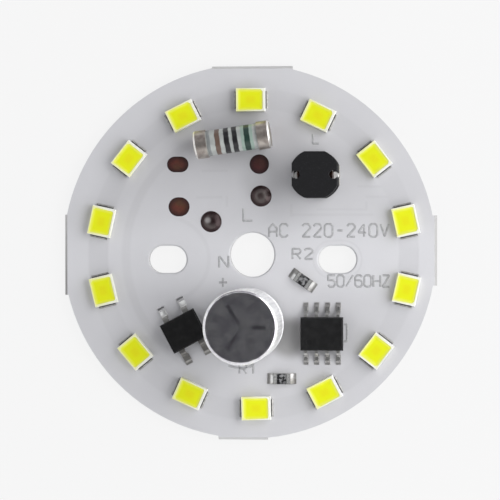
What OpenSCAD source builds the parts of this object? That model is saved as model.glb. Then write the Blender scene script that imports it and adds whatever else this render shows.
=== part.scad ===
// Round driver-on-board LED module.
// An aluminium-base board carries a ring of LEDs on its white face, and inside the ring
// the mains driver that feeds them: bridge rectifier, smoothing capacitor, driver chip,
// inductor, fusible resistor and two chip resistors.
// Millimetres, +Z up. The back face is at z = 0 and the wire hole is on the Z axis.

/* [Board] */
// Diameter of the routed outline
board_d = 44; // [42:0.5:56]
// Thickness of the board
board_t = 1; // [0.8:0.1:2]
// How far the routed outline sits to the right of the drilled pattern
outline_x = -0.45; // [-0.6:0.05:0.6]
// How far the routed outline sits above the drilled pattern
outline_y = 0.38; // [-0.6:0.05:0.6]
// Diameter of the wire hole in the middle
wire_hole_d = 5.2; // [3:0.1:6]
// Distance between the centres of the two screw slots
slot_pitch = 20; // [18:0.5:24]
// How far the screw slots sit above the wire hole
slot_y = -0.55; // [-1:0.05:1]
// Length of a screw slot, end to end
slot_l = 4.45; // [4:0.05:6]
// Width of a screw slot
slot_w = 3.2; // [2.4:0.1:3.8]
// Depth of the pads' copper, which lies flush with the white face
copper_t = 0.06; // [0.03:0.01:0.15]

/* [Break-off tabs] */
// How much narrower than the outline the scored square is
score_gap = 0.05; // [0.05:0.05:0.6]
// Shift of the scored square to the right of the drilled pattern
score_x = -0.3; // [-0.6:0.05:0.6]
// Shift of the scored square above the drilled pattern
score_y = 0.2; // [-0.6:0.05:0.6]
// Depth of the V score on each face
score_depth = 0.3; // [0.1:0.05:0.35]
// Width of the whole tabs, left and top
tab_w = 9.5; // [6:0.5:12]
// Width of the trimmed tab on the right
right_tab_w = 8.2; // [4:0.2:10]
// How far the trimmed right tab sits above the middle
right_tab_y = 0.5; // [-2:0.1:2]
// Width of the trimmed tab at the bottom
bottom_tab_w = 5.8; // [4:0.2:10]
// How far the trimmed bottom tab sits to the right of the middle
bottom_tab_x = -1.1; // [-2:0.1:2]

/* [LEDs] */
// Number of LEDs in the ring
led_count = 14; // [6:1:14]
// Distance from the board's edge to the LEDs' centres
led_inset = 3.8; // [3:0.1:4.5]
// Angle of the first LED, anticlockwise from +X
led_turn = 13.5; // [0:0.5:25]
// Length of an LED housing, along the ring
led_l = 3.5; // [3:0.1:4]
// Width of an LED housing, across the ring
led_w = 2.8; // [2.4:0.1:3.4]
// Height of an LED housing
led_h = 0.75; // [0.6:0.05:1.2]
// Inward lean of the housing's walls
led_draft = 0.05; // [0:0.01:0.15]
// Width of the white rim at the housing's ends
led_end_rim = 0.3; // [0.2:0.05:0.5]
// Width of the white rim along the housing's sides
led_side_rim = 0.2; // [0.2:0.05:0.5]
// Depth of the phosphor's cup
led_cup = 0.4; // [0.2:0.05:0.45]
// How far the phosphor lies below the rim
led_dip = 0.04; // [0.02:0.01:0.1]
// Thickness of an LED's terminals
led_term_t = 0.15; // [0.1:0.01:0.2]
// Width of an LED's terminals
led_term_w = 2; // [1.4:0.1:2.2]
// How far a terminal reaches past the housing
led_term_out = 0.12; // [0.05:0.01:0.3]

/* [Capacitor] */
// Diameter of the can
cap_d = 8.6; // [6.3:0.1:8.8]
// Height of the can
cap_h = 9.7; // [7:0.1:16]
// Centre of the can, to the right of the wire hole
cap_x = -0.5; // [-1:0.1:0.6]
// Centre of the can, above the wire hole
cap_y = -8.15; // [-9:0.05:-8]
// Radius of the can's top edge
cap_edge_r = 0.45; // [0.2:0.05:0.8]
// Height of the crimp groove above the can's foot
cap_crimp_z = 1.5; // [1.2:0.1:2.5]
// Depth of the crimp groove
cap_crimp_depth = 0.25; // [0.1:0.05:0.5]
// Gap between the can's foot and the leads
cap_lift = 0.2; // [0.1:0.05:0.6]
// Distance between the two leads
cap_lead_pitch = 3.5; // [2.5:0.1:4]
// Width of the vent's score lines
cap_vent_w = 0.3; // [0.15:0.05:0.5]
// Depth of the vent's score lines
cap_vent_depth = 0.1; // [0.05:0.01:0.2]

/* [Inductor] */
// Diameter over the round corners of the core's flanges
coil_d = 5.85; // [4.5:0.05:6.8]
// Length of the flanges, across their notched sides
coil_l = 5.25; // [4:0.05:6]
// Width of the flanges, across their plain sides
coil_w = 5.35; // [4:0.05:6]
// Height of the core
coil_h = 4.4; // [3:0.1:5.5]
// Thickness of each flange
coil_flange_t = 0.85; // [0.5:0.05:1.2]
// Diameter of the core's stem
coil_stem_d = 2.6; // [2:0.1:3.2]
// Diameter of the winding
coil_winding_d = 4.2; // [3.6:0.1:4.8]
// Diameter of the wire
coil_wire_d = 0.3; // [0.2:0.02:0.5]
// Radius of the wire notches in the flanges
coil_notch_r = 0.5; // [0.3:0.05:0.6]
// Gap between a notch and the terminal post that stands in it
coil_post_gap = 0.1; // [0.05:0.01:0.2]
// Centre of the inductor, to the right of the wire hole
coil_x = 7.6; // [7:0.05:9]
// Centre of the inductor, above the wire hole
coil_y = 9.3; // [8:0.05:10]

/* [Driver chip] */
// Length of the driver chip's body
driver_l = 5; // [4.7:0.1:6.2]
// Width of the driver chip's body
driver_w = 3.9; // [3.4:0.1:4.4]
// Height of the driver chip's body
driver_h = 1.45; // [1.1:0.05:2]
// Distance between the driver chip's leads
driver_pitch = 1.27; // [1:0.01:1.35]
// Width of a driver chip lead
driver_lead_w = 0.42; // [0.3:0.02:0.6]
// How far the driver chip's leads reach from the body
driver_reach = 1.2; // [0.9:0.05:1.5]
// Centre of the driver chip, to the right of the wire hole
driver_x = 8.25; // [7.5:0.05:9]
// Centre of the driver chip, above the wire hole
driver_y = -9.25; // [-10:0.05:-8.5]

/* [Bridge rectifier] */
// Length of the rectifier's body
bridge_l = 4.5; // [4:0.1:5.2]
// Width of the rectifier's body
bridge_w = 3.7; // [3.2:0.05:4.2]
// Height of the rectifier's body
bridge_h = 1.5; // [1.2:0.05:2.5]
// Distance between the rectifier's leads
bridge_pitch = 2.54; // [2:0.02:3]
// Width of a rectifier lead
bridge_lead_w = 0.7; // [0.5:0.05:1]
// How far the rectifier's leads reach from the body
bridge_reach = 1.4; // [0.9:0.05:1.6]
// Distance from the capacitor's side to the centre of the rectifier
bridge_gap = 3.2; // [3:0.05:4.5]
// How far the rectifier sits above the capacitor's centre
bridge_y = -0.8; // [-2:0.1:2]
// Turn of the rectifier
bridge_turn = 28; // [0:1:45]

/* [Fusible resistor] */
// Length of the resistor over its end caps
fuse_l = 9; // [7:0.1:10]
// Diameter of the end caps
fuse_cap_d = 3.3; // [2.4:0.1:3.8]
// Length of an end cap
fuse_cap_l = 1.5; // [1:0.1:2]
// Wall of an end cap
fuse_cap_wall = 0.15; // [0.1:0.01:0.3]
// Radius of an end cap's outer edge
fuse_edge_r = 0.3; // [0.1:0.05:0.5]
// Centre of the resistor, to the right of the wire hole
fuse_x = -2.15; // [-3:0.05:-1]
// Centre of the resistor, above the wire hole
fuse_y = 13.45; // [12.8:0.05:13.6]
// Turn of the resistor
fuse_turn = 8.4; // [0:0.2:12]

/* [Chip resistors] */
// Length of a chip resistor
chip_l = 2; // [1.6:0.1:2.6]
// Width of a chip resistor
chip_w = 1.25; // [0.8:0.05:1.6]
// Height of a chip resistor
chip_h = 0.5; // [0.35:0.05:0.7]
// Length of an end termination
chip_term_l = 0.45; // [0.25:0.05:0.5]
// Thickness of an end termination
chip_term_t = 0.05; // [0.03:0.01:0.08]
// Centre of the first chip resistor, to the right of the wire hole
chip_1_x = 3.5; // [2:0.1:4]
// Centre of the first chip resistor, above the wire hole
chip_1_y = -14.55; // [-15:0.05:-14]
// Centre of the second chip resistor, to the right of the wire hole
chip_2_x = 6; // [5.5:0.1:6.5]
// Centre of the second chip resistor, above the wire hole
chip_2_y = -3; // [-3.4:0.05:-2.6]
// Turn of the second chip resistor
chip_2_turn = -35; // [-60:1:0]

/* [Solder and leads] */
// Height of the solder domes on the two wire pads
dome_h = 0.45; // [0.2:0.05:1]
// Width of bare copper left round a solder dome
dome_rim = 0.08; // [0.03:0.01:0.2]
// Thickness of a tinned land, which every part stands on
land_t = 0.06; // [0.03:0.01:0.15]
// How far a land shows beyond a lead
land_out = 0.5; // [0.2:0.05:0.6]
// How far a land shows beyond a chip resistor
chip_land_out = 0.7; // [0.3:0.05:0.8]
// How far a land shows beside a lead
land_side = 0.08; // [0.03:0.01:0.15]
// Thickness of the chips' lead strip
lead_t = 0.2; // [0.12:0.01:0.3]
// Gap between a chip's body and the lands
body_lift = 0.1; // [0.05:0.01:0.2]

/* [Hidden] */
$fn = 64;
slack = 1;

seat_z = board_t + land_t;
ring_r = board_d / 2 - led_inset;

// The driver's parts are placed for a ring of this radius, and move in and out with the ring
drawn_ring_r = 18.2;
function spot(x, y, z) = [x * ring_r / drawn_ring_r, y * ring_r / drawn_ring_r, z];

score_square = board_d - score_gap;
score_inset = score_depth * tan(45);

// Copper pads: centre, length and width. The first two take the mains wires.
wire_pads = [
    [1.05, 6.9, 2.5, 2.5],
    [-4.85, 3.9, 2.5, 2.5],
    [0.85, 10.65, 2.3, 2.3],
    [-8.8, 10.65, 2.55, 1.85],
    [-8.65, 5.65, 2.5, 2.25]
];
tinned_pads = [wire_pads[0], wire_pads[1]];

// LED terminals: the anode runs further under the housing than the cathode
led_term_long = 0.5 * led_l - 0.15;
led_term_short = 0.3 * led_l;
led_notch = 1.2 * led_end_rim;
led_fillet = 0.15;
led_window_r = 0.25;

// How each LED stands off an even ring, as photographed: degrees round it, millimetres outwards
led_trim = [
    [-1.1, 0.25], [-1.3, 0], [-0.5, -0.15], [-0.2, 0], [0.1, 0.05], [0, 0.25], [-0.2, 0.05],
    [0, -0.1], [0.5, -0.25], [0.9, -0.25], [0.9, -0.15], [1.6, 0.05], [0.3, 0.2], [-0.4, 0.35]
];

// Capacitor
cap_r = cap_d / 2;
cap_lead_t = 0.3;
cap_lead_w = 0.7;
cap_pin_r = 0.3;
cap_foot_z = seat_z + cap_lead_t + cap_lift;
cap_bung_r = cap_r - 0.45;
cap_bung_h = 1.2;
cap_vent_l = 0.72 * cap_r;
cap_lead_turn = 135;
cap_lead_end = cap_r - 0.5;

// Inductor
coil_term_t = 0.1;
coil_term_l = coil_l / 2 - coil_stem_d / 2 + 0.3;
coil_term_w = 0.42 * coil_w;
coil_z = seat_z + coil_term_t;
coil_window = coil_h - 2 * coil_flange_t;
coil_rows = max(2, floor(coil_window / coil_wire_d));
coil_post_r = coil_notch_r - coil_post_gap;
coil_fillet = 0.1;
coil_notch_x = coil_l / 2 - coil_post_r - coil_post_gap / 2;

// Fusible resistor
fuse_body_d = fuse_cap_d - 2 * fuse_cap_wall;
fuse_z = seat_z + fuse_cap_d / 2;
fuse_solder_h = 0.18 * fuse_cap_d;
fuse_solder_w = 0.62 * fuse_cap_d;

// Chip leads: round bends in the lead strip, and the draft of the moulded bodies
lead_bend_r = 0.9 * lead_t;
lead_steps = 4;
body_draft = 0.12;
driver_rows = 4;
bridge_rows = 2;

LED_IDS = [for (i = [1:led_count]) str(i < 10 ? "0" : "", i)];

// Helpers for flat outlines

function unit(v) = v / norm(v);
function normal(v) = [-v.y, v.x];
function reversed(p) = [for (i = [len(p) - 1:-1:0]) p[i]];

// Points of an arc of radius r that rounds the corner b between a and c
function round_corner(a, b, c, r) =
    let (
        u = unit(a - b),
        v = unit(c - b),
        half = acos(u * v) / 2,
        centre = b + unit(u + v) * r / sin(half),
        from = b + u * r / tan(half) - centre,
        to = b + v * r / tan(half) - centre,
        start = atan2(from.y, from.x),
        sweep = (atan2(to.y, to.x) - start + 540) % 360 - 180
    )
    [for (i = [0:lead_steps])
        centre + r * [cos(start + sweep * i / lead_steps), sin(start + sweep * i / lead_steps)]];

// A path whose inner corners are rounded
function rounded_path(p, r) = concat(
    [p[0]],
    [for (i = [1:len(p) - 2], q = round_corner(p[i - 1], p[i], p[i + 1], r)) q],
    [p[len(p) - 1]]
);

// A path moved sideways by d, with mitred corners
function beside(p, d) = [for (i = [0:len(p) - 1])
    let (
        a = unit(i == 0 ? p[1] - p[0] : p[i] - p[i - 1]),
        b = i == len(p) - 1 ? a : unit(p[i + 1] - p[i]),
        n = unit(normal(a) + normal(b))
    )
    p[i] + n * d / (n * normal(a))];

// A strip of thickness t along a path in the XZ plane, w wide along Y
module bent_strip(path, t, w) {
    rotate([90, 0, 0])
        linear_extrude(height = w, center = true)
            polygon(concat(beside(path, t / 2), reversed(beside(path, -t / 2))));
}

module rounded_rectangle(l, w, r) {
    square([l - 2 * r, w], center = true);
    square([l, w - 2 * r], center = true);
    for (sx = [-1, 1], sy = [-1, 1])
        translate([sx * (l / 2 - r), sy * (w / 2 - r)])
            circle(r);
}

// A slot shape with round ends; a circle where length and width are equal
module stadium(l, w) {
    if (l > w) {
        square([l - w, w], center = true);
        for (s = [-1, 1])
            translate([s * (l - w) / 2, 0])
                circle(w / 2);
    } else {
        circle(w / 2);
    }
}

// A quarter-round cut for the upper outer corner of a profile at [x, y]
module round_off(x, y, r) {
    translate([x - r, y - r])
        difference() {
            square(r + slack);
            circle(r);
        }
}

// A solid with the same six-sided side view from X and from Y
module faceted_block(side_x, side_y, reach) {
    intersection() {
        rotate([90, 0, 0])
            linear_extrude(height = reach, center = true)
                polygon(side_x);
        rotate([90, 0, 90])
            linear_extrude(height = reach, center = true)
                polygon(side_y);
    }
}

// A straight-sided box that narrows towards its top
module tapered_box(l, w, h, lean) {
    faceted_block(
        [[-l / 2, 0], [l / 2, 0], [l / 2 - lean, h], [lean - l / 2, h]],
        [[-w / 2, 0], [w / 2, 0], [w / 2 - lean, h], [lean - w / 2, h]],
        2 * max(l, w)
    );
}

// Side view of a moulded chip body: widest at the band that the leads leave from
function moulded_side(l, h) = let (low = (h - lead_t) / 2, high = (h + lead_t) / 2) [
    [body_draft - l / 2, 0], [l / 2 - body_draft, 0],
    [l / 2, low], [l / 2, high],
    [l / 2 - body_draft, h], [body_draft - l / 2, h],
    [-l / 2, high], [-l / 2, low]
];

module moulded_body(l, w, h) {
    faceted_block(moulded_side(l, h), moulded_side(w, h), 2 * max(l, w));
}

// Board

module board_outline() {
    translate([outline_x, outline_y])
        circle(d = board_d, $fn = 180);
    translate([score_x - score_square / 2, -tab_w / 2])
        square([score_square / 2, tab_w]);
    translate([-tab_w / 2, score_y])
        square([tab_w, score_square / 2]);
    translate([score_x, right_tab_y - right_tab_w / 2])
        square([score_square / 2, right_tab_w]);
    translate([bottom_tab_x - bottom_tab_w / 2, score_y - score_square / 2])
        square([bottom_tab_w, score_square / 2]);
}

// Side view of the scored square, with a V cut into both edges from both faces
function scored_side(middle) = let (half = score_square / 2) [
    [middle - half + score_inset, 0], [middle + half - score_inset, 0],
    [middle + half, score_depth], [middle + half, board_t - score_depth],
    [middle + half - score_inset, board_t], [middle - half + score_inset, board_t],
    [middle - half, board_t - score_depth], [middle - half, score_depth]
];

module board() {
    color("whitesmoke")
        difference() {
            intersection() {
                linear_extrude(height = board_t)
                    board_outline();
                faceted_block(scored_side(score_x), scored_side(score_y), 2 * board_d);
            }
            translate([0, 0, -slack])
                cylinder(d = wire_hole_d, h = board_t + 2 * slack);
            for (s = [-1, 1])
                translate([s * slot_pitch / 2, slot_y, -slack])
                    linear_extrude(height = board_t + 2 * slack)
                        stadium(slot_l, slot_w);
            for (pad = wire_pads)
                translate(spot(pad[0], pad[1], board_t - copper_t))
                    linear_extrude(height = slack)
                        stadium(pad[2], pad[3]);
        }
}

module copper_pads() {
    color("sienna")
        for (pad = wire_pads)
            translate(spot(pad[0], pad[1], board_t - copper_t))
                linear_extrude(height = copper_t)
                    stadium(pad[2], pad[3]);
}

// Solder that wets a wire pad, as the cap of a sphere
module wire_solder() {
    color("dimgray")
        for (pad = tinned_pads) {
            dome_r = pad[3] / 2 - dome_rim;
            ball_r = (dome_r * dome_r + dome_h * dome_h) / (2 * dome_h);
            translate(spot(pad[0], pad[1], board_t))
                rotate_extrude()
                    intersection() {
                        translate([0, dome_h - ball_r])
                            circle(ball_r, $fn = 180);
                        square([dome_r + slack, dome_h + slack]);
                    }
        }
}

// LEDs: X runs along the ring, Y outwards

module at_led(i) {
    trim = led_trim[i - 1];
    rotate(led_turn + trim[0] + (i - 1) * 360 / led_count)
        translate([ring_r + trim[1], 0, seat_z])
            rotate(-90)
                children();
}

module led_window() {
    difference() {
        rounded_rectangle(led_l - 2 * led_end_rim, led_w - 2 * led_side_rim, led_window_r);
        translate([led_l / 2 - led_end_rim, led_w / 2 - led_side_rim])
            rotate(45)
                square(led_notch, center = true);
    }
}

module led_terminal_pair() {
    for (end = [[-1, led_term_long], [1, led_term_short]])
        translate([end[0] * (led_l / 2 + led_term_out - end[1] / 2), 0, led_term_t / 2])
            cube([end[1], led_term_w, led_term_t], center = true);
}

module led_housing(i) {
    color("white")
        at_led(i)
            difference() {
                tapered_box(led_l, led_w, led_h, led_draft);
                translate([0, 0, led_h - led_cup])
                    linear_extrude(height = led_cup + slack)
                        led_window();
                led_terminal_pair();
            }
}

module led_phosphor(i) {
    color("yellow")
        at_led(i)
            translate([0, 0, led_h - led_cup])
                linear_extrude(height = led_cup - led_dip)
                    led_window();
}

module led_terminals() {
    color("silver")
        for (i = [1:led_count])
            at_led(i)
                led_terminal_pair();
}

// A land with a hollow fillet that climbs the end face of a terminal to height h at most.
// X runs away from the part, and x = 0 is the end face.
module end_solder(under, toe, w, h) {
    climb = min(h, toe);
    hollow_r = (toe * toe + climb * climb) / (2 * climb);
    rotate([90, 0, 0])
        linear_extrude(height = w, center = true)
            difference() {
                translate([-under, -land_t])
                    square([under + toe, land_t + climb]);
                translate([-under - slack, 0])
                    square([under + slack, slack]);
                translate([toe, hollow_r])
                    circle(hollow_r);
            }
}

module led_solder() {
    color("gray")
        for (i = [1:led_count], end = [[0, led_term_short], [180, led_term_long]])
            at_led(i)
                rotate(end[0])
                    translate([led_l / 2 + led_term_out, 0, 0])
                        end_solder(end[1], led_fillet, led_term_w + land_side, led_term_t);
}

// Capacitor: a drawn can, closed by a rubber bung, on leads bent flat under it

module at_capacitor() {
    translate(spot(cap_x, cap_y, 0))
        children();
}

module can_profile() {
    foot_r = 0.6 * cap_edge_r;
    groove_r = 2 * cap_crimp_depth;
    difference() {
        square([cap_r, cap_h]);
        round_off(cap_r, cap_h, cap_edge_r);
        mirror([0, 1])
            round_off(cap_r, 0, foot_r);
        translate([cap_r + groove_r - cap_crimp_depth, cap_crimp_z])
            circle(groove_r);
        translate([-slack, -slack])
            square([cap_bung_r + slack, cap_bung_h + slack]);
    }
}

module capacitor_can() {
    color("lightgray")
        at_capacitor()
            translate([0, 0, cap_foot_z])
                difference() {
                    rotate_extrude($fn = 96)
                        can_profile();
                    for (a = [0, 120, 240])
                        rotate(a)
                            translate([0, -cap_vent_w / 2, cap_h - cap_vent_depth])
                                cube([cap_vent_l, cap_vent_w, slack]);
                }
}

module capacitor_bung() {
    color("dimgray")
        at_capacitor()
            difference() {
                translate([0, 0, seat_z + cap_lead_t])
                    cylinder(r = cap_bung_r, h = cap_lift + cap_bung_h);
                rotate(cap_lead_turn)
                    for (s = [-1, 1])
                        translate([s * cap_lead_pitch / 2, 0, seat_z])
                            cylinder(r = cap_pin_r, h = 2 * cap_bung_h + cap_lift);
            }
}

module capacitor_leads() {
    inner = cap_lead_pitch / 2 - cap_lead_w / 2;
    color("silver")
        at_capacitor()
            rotate(cap_lead_turn)
                for (s = [0, 180])
                    rotate(s) {
                        translate([inner, -cap_lead_w / 2, seat_z])
                            cube([cap_lead_end - inner, cap_lead_w, cap_lead_t]);
                        translate([cap_lead_pitch / 2, 0, seat_z + cap_lead_t / 2])
                            cylinder(r = cap_pin_r, h = cap_lead_t / 2 + cap_lift + cap_bung_h);
                    }
}

// Inductor: a ferrite drum with flats, wound on its stem

module at_inductor() {
    translate(spot(coil_x, coil_y, 0))
        children();
}

module coil_flange() {
    intersection() {
        circle(d = coil_d, $fn = 96);
        square([coil_l, coil_w], center = true);
    }
}

module inductor_core() {
    color("black")
        at_inductor()
            translate([0, 0, coil_z])
                difference() {
                    union() {
                        linear_extrude(height = coil_flange_t)
                            coil_flange();
                        cylinder(d = coil_stem_d, h = coil_h);
                        translate([0, 0, coil_h - coil_flange_t])
                            linear_extrude(height = coil_flange_t)
                                coil_flange();
                    }
                    for (s = [-1, 1])
                        translate([s * coil_notch_x, 0, -slack])
                            cylinder(r = coil_notch_r, h = coil_h + 2 * slack);
                }
}

module inductor_winding() {
    pitch = coil_window / coil_rows;
    bead_r = 0.55 * pitch;
    color("saddlebrown")
        at_inductor()
            translate([0, 0, coil_z + coil_flange_t])
                rotate_extrude($fn = 96)
                    intersection() {
                        union() {
                            translate([coil_stem_d / 2, 0])
                                square([(coil_winding_d - coil_stem_d) / 2 - bead_r, coil_window]);
                            for (i = [0:coil_rows - 1])
                                translate([coil_winding_d / 2 - bead_r, (i + 0.5) * pitch])
                                    circle(bead_r);
                        }
                        translate([coil_stem_d / 2, 0])
                            square([coil_winding_d, coil_window]);
                    }
}

module inductor_terminals() {
    color("silver")
        at_inductor()
            for (s = [0, 180])
                rotate(s) {
                    translate([coil_l / 2 - coil_term_l, -coil_term_w / 2, seat_z])
                        cube([coil_term_l, coil_term_w, coil_term_t]);
                    translate([coil_notch_x, 0, seat_z + coil_term_t / 2])
                        cylinder(r = coil_post_r, h = coil_term_t / 2 + coil_flange_t);
                }
}

// Moulded chips with gull-wing leads

module at_driver() {
    translate(spot(driver_x, driver_y, seat_z))
        children();
}

module at_bridge() {
    at_capacitor()
        translate([-cap_r - bridge_gap, bridge_y, seat_z])
            rotate(bridge_turn)
                children();
}

// Gull-wing lead: x = 0 is the body's side, and the foot rests on z = 0
module gull_wing(body_h, reach, w) {
    exit_z = body_lift + body_h / 2;
    foot_z = lead_t / 2;
    path = [[0, exit_z], [0.32 * reach, exit_z], [0.5 * reach, foot_z], [reach, foot_z]];
    bent_strip(rounded_path(path, lead_bend_r), lead_t, w);
}

// Places children at each lead of a chip with leads on both long sides
module at_leads(rows, pitch, body_w) {
    for (side = [90, -90], i = [0:rows - 1])
        rotate(side)
            translate([body_w / 2, (i - (rows - 1) / 2) * pitch, 0])
                children();
}

module chip_lead_solder(reach, w) {
    foot = 0.5 * reach;
    translate([reach, 0, 0])
        end_solder(foot, land_out, w + 2 * land_side, 0.7 * lead_t);
}

module driver_body() {
    mark_r = 0.35;
    mark_depth = 0.06;
    color([0.13, 0.13, 0.13])
        at_driver()
            difference() {
                translate([0, 0, body_lift])
                    moulded_body(driver_l, driver_w, driver_h);
                translate([-0.5 * driver_l + 3 * mark_r, -0.5 * driver_w + 3 * mark_r,
                           body_lift + driver_h - mark_depth])
                    cylinder(r = mark_r, h = slack);
            }
}

module driver_leads() {
    color("silver")
        at_driver()
            at_leads(driver_rows, driver_pitch, driver_w)
                gull_wing(driver_h, driver_reach, driver_lead_w);
}

module bridge_body() {
    color([0.12, 0.12, 0.12])
        at_bridge()
            translate([0, 0, body_lift])
                moulded_body(bridge_l, bridge_w, bridge_h);
}

module bridge_leads() {
    color("silver")
        at_bridge()
            at_leads(bridge_rows, bridge_pitch, bridge_w)
                gull_wing(bridge_h, bridge_reach, bridge_lead_w);
}

// Fusible resistor: a coated rod in two pressed end caps, lying on its side

module at_fuse_resistor() {
    translate(spot(fuse_x, fuse_y, fuse_z))
        rotate([0, 90, fuse_turn])
            children();
}

module fuse_resistor_body() {
    body_l = fuse_l - 2 * fuse_cap_wall;
    color("darkgray")
        at_fuse_resistor()
            cylinder(d = fuse_body_d, h = body_l, center = true);
}

module fuse_resistor_caps() {
    color("silver")
        at_fuse_resistor()
            for (s = [0, 1])
                mirror([0, 0, s])
                    translate([0, 0, fuse_l / 2 - fuse_cap_l])
                        rotate_extrude()
                            difference() {
                                square([fuse_cap_d / 2, fuse_cap_l]);
                                translate([-slack, -slack])
                                    square([fuse_body_d / 2 + slack,
                                            fuse_cap_l - fuse_cap_wall + slack]);
                                round_off(fuse_cap_d / 2, fuse_cap_l, fuse_edge_r);
                            }
}

module fuse_solder() {
    difference() {
        translate(spot(fuse_x, fuse_y, board_t))
            rotate(fuse_turn)
                for (s = [-1, 1])
                    translate([s * (fuse_l - fuse_cap_l) / 2, 0, 0])
                        tapered_box(fuse_cap_l, fuse_solder_w, land_t + fuse_solder_h, fuse_solder_h / 2);
        at_fuse_resistor()
            cylinder(d = fuse_cap_d, h = fuse_l, center = true);
    }
}

// Chip resistors: a ceramic slip with wrapped ends and a dark overcoat

module at_chip_resistor(k) {
    translate(k == 1 ? spot(chip_1_x, chip_1_y, seat_z) : spot(chip_2_x, chip_2_y, seat_z))
        rotate(k == 1 ? 0 : chip_2_turn)
            children();
}

module chip_slip() {
    translate([0, 0, chip_h / 2])
        cube([chip_l - 2 * chip_term_t, chip_w, chip_h - 2 * chip_term_t], center = true);
}

module chip_ceramic(k) {
    color("linen")
        at_chip_resistor(k)
            chip_slip();
}

module chip_overcoat(k) {
    color([0.1, 0.1, 0.1])
        at_chip_resistor(k)
            translate([0, 0, chip_h - chip_term_t / 2])
                cube([chip_l - 2 * chip_term_l, chip_w, chip_term_t], center = true);
}

module chip_terminals(k) {
    color("silver")
        at_chip_resistor(k)
            difference() {
                for (s = [-1, 1])
                    translate([s * (chip_l - chip_term_l) / 2, 0, chip_h / 2])
                        cube([chip_term_l, chip_w, chip_h], center = true);
                chip_slip();
            }
}

// Lands and joints of everything inside the ring

module component_solder() {
    capacitor_inner = cap_lead_pitch / 2 - cap_lead_w / 2;
    color("gray") {
        at_capacitor()
            rotate(cap_lead_turn)
                for (s = [0, 180])
                    rotate(s)
                        translate([cap_lead_end, 0, seat_z])
                            end_solder(cap_lead_end - capacitor_inner, land_side,
                                       cap_lead_w + 2 * land_side, cap_lead_t / 2);
        at_inductor()
            for (s = [0, 180])
                rotate(s)
                    translate([coil_l / 2, 0, seat_z])
                        end_solder(coil_term_l, coil_fillet, coil_term_w + 2 * land_side, coil_term_t);
        at_driver()
            at_leads(driver_rows, driver_pitch, driver_w)
                chip_lead_solder(driver_reach, driver_lead_w);
        at_bridge()
            at_leads(bridge_rows, bridge_pitch, bridge_w)
                chip_lead_solder(bridge_reach, bridge_lead_w);
        fuse_solder();
        for (k = [1, 2])
            at_chip_resistor(k)
                for (s = [0, 180])
                    rotate(s)
                        translate([chip_l / 2, 0, 0])
                            end_solder(chip_term_l, chip_land_out, chip_w, 0.6 * chip_h);
    }
}

board();
copper_pads();
wire_solder();
for (i = [1:led_count]) {
    led_housing(i);
    led_phosphor(i);
}
led_terminals();
led_solder();
capacitor_can();
capacitor_bung();
capacitor_leads();
inductor_core();
inductor_winding();
inductor_terminals();
driver_body();
driver_leads();
bridge_body();
bridge_leads();
fuse_resistor_body();
fuse_resistor_caps();
for (k = [1, 2]) {
    chip_ceramic(k);
    chip_overcoat(k);
    chip_terminals(k);
}
component_solder();
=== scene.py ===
import math

import bpy
from mathutils import Matrix, Vector


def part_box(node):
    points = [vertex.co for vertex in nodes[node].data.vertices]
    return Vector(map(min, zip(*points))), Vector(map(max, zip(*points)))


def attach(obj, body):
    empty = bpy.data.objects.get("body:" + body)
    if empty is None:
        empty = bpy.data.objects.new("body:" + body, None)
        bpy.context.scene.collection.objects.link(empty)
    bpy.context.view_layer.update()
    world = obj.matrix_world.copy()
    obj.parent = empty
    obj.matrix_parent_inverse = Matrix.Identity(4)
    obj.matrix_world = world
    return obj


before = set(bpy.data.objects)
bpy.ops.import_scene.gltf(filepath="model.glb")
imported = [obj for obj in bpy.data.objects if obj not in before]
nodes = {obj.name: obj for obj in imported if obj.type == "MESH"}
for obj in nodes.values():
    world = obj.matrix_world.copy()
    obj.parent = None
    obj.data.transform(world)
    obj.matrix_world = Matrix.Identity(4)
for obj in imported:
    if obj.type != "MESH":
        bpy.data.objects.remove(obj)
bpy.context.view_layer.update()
mm = 0.001
print("frame:", len(nodes), "nodes loaded")


# small helpers for shader trees

def feed(tree, node, values):  # link each socket, or set its plain value
    for name, value in values.items():
        if isinstance(value, bpy.types.NodeSocket):
            tree.links.new(value, node.inputs[name])
        else:
            node.inputs[name].default_value = value


def put(tree, kind, feeds=None, **settings):
    node = tree.nodes.new(kind if kind.startswith("Node") else "ShaderNode" + kind)
    for name, value in settings.items():
        setattr(node, name, value)
    feed(tree, node, feeds or {})
    return node


def reckon(tree, operation, first, second=0.0, third=0.0):
    return put(tree, "Math", {0: first, 1: second, 2: third}, operation=operation).outputs[0]


def times(tree, first, second):
    return reckon(tree, "MULTIPLY", first, second)


def apart(tree, first, second):  # how far apart two values are
    return reckon(tree, "ABSOLUTE", reckon(tree, "SUBTRACT", first, second))


def hypotenuse(tree, first, second):
    squares = reckon(tree, "ADD", times(tree, first, first), times(tree, second, second))
    return reckon(tree, "SQRT", squares)


def gather(tree, operation, values):
    total = values[0]
    for value in values[1:]:
        total = reckon(tree, operation, total, value)
    return total


def rise(tree, value, low, high):  # 0 at low, 1 at high, smooth between; low may be the larger
    feeds = {"Value": value, "From Min": low, "From Max": high}
    return put(tree, "MapRange", feeds, interpolation_type="SMOOTHSTEP").outputs["Result"]


def band(tree, value, start, end):  # two pairs of limits: it comes in over the first, goes over the second
    return times(tree, rise(tree, value, *start), rise(tree, value, *end))


def span(tree, value, low, high):  # straight run from low to high over a mask of 0 to 1
    return put(tree, "MapRange", {"Value": value, "To Min": low, "To Max": high}).outputs["Result"]


def tint(tree, mask, first, second):
    return put(tree, "Mix", {0: mask, 6: first, 7: second}, data_type="RGBA").outputs[2]


def blend(tree, mask, first, second):
    return put(tree, "Mix", {0: mask, 2: first, 3: second}, data_type="FLOAT").outputs[0]


def axes(tree, vector):
    return put(tree, "SeparateXYZ", {0: vector}).outputs


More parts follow.
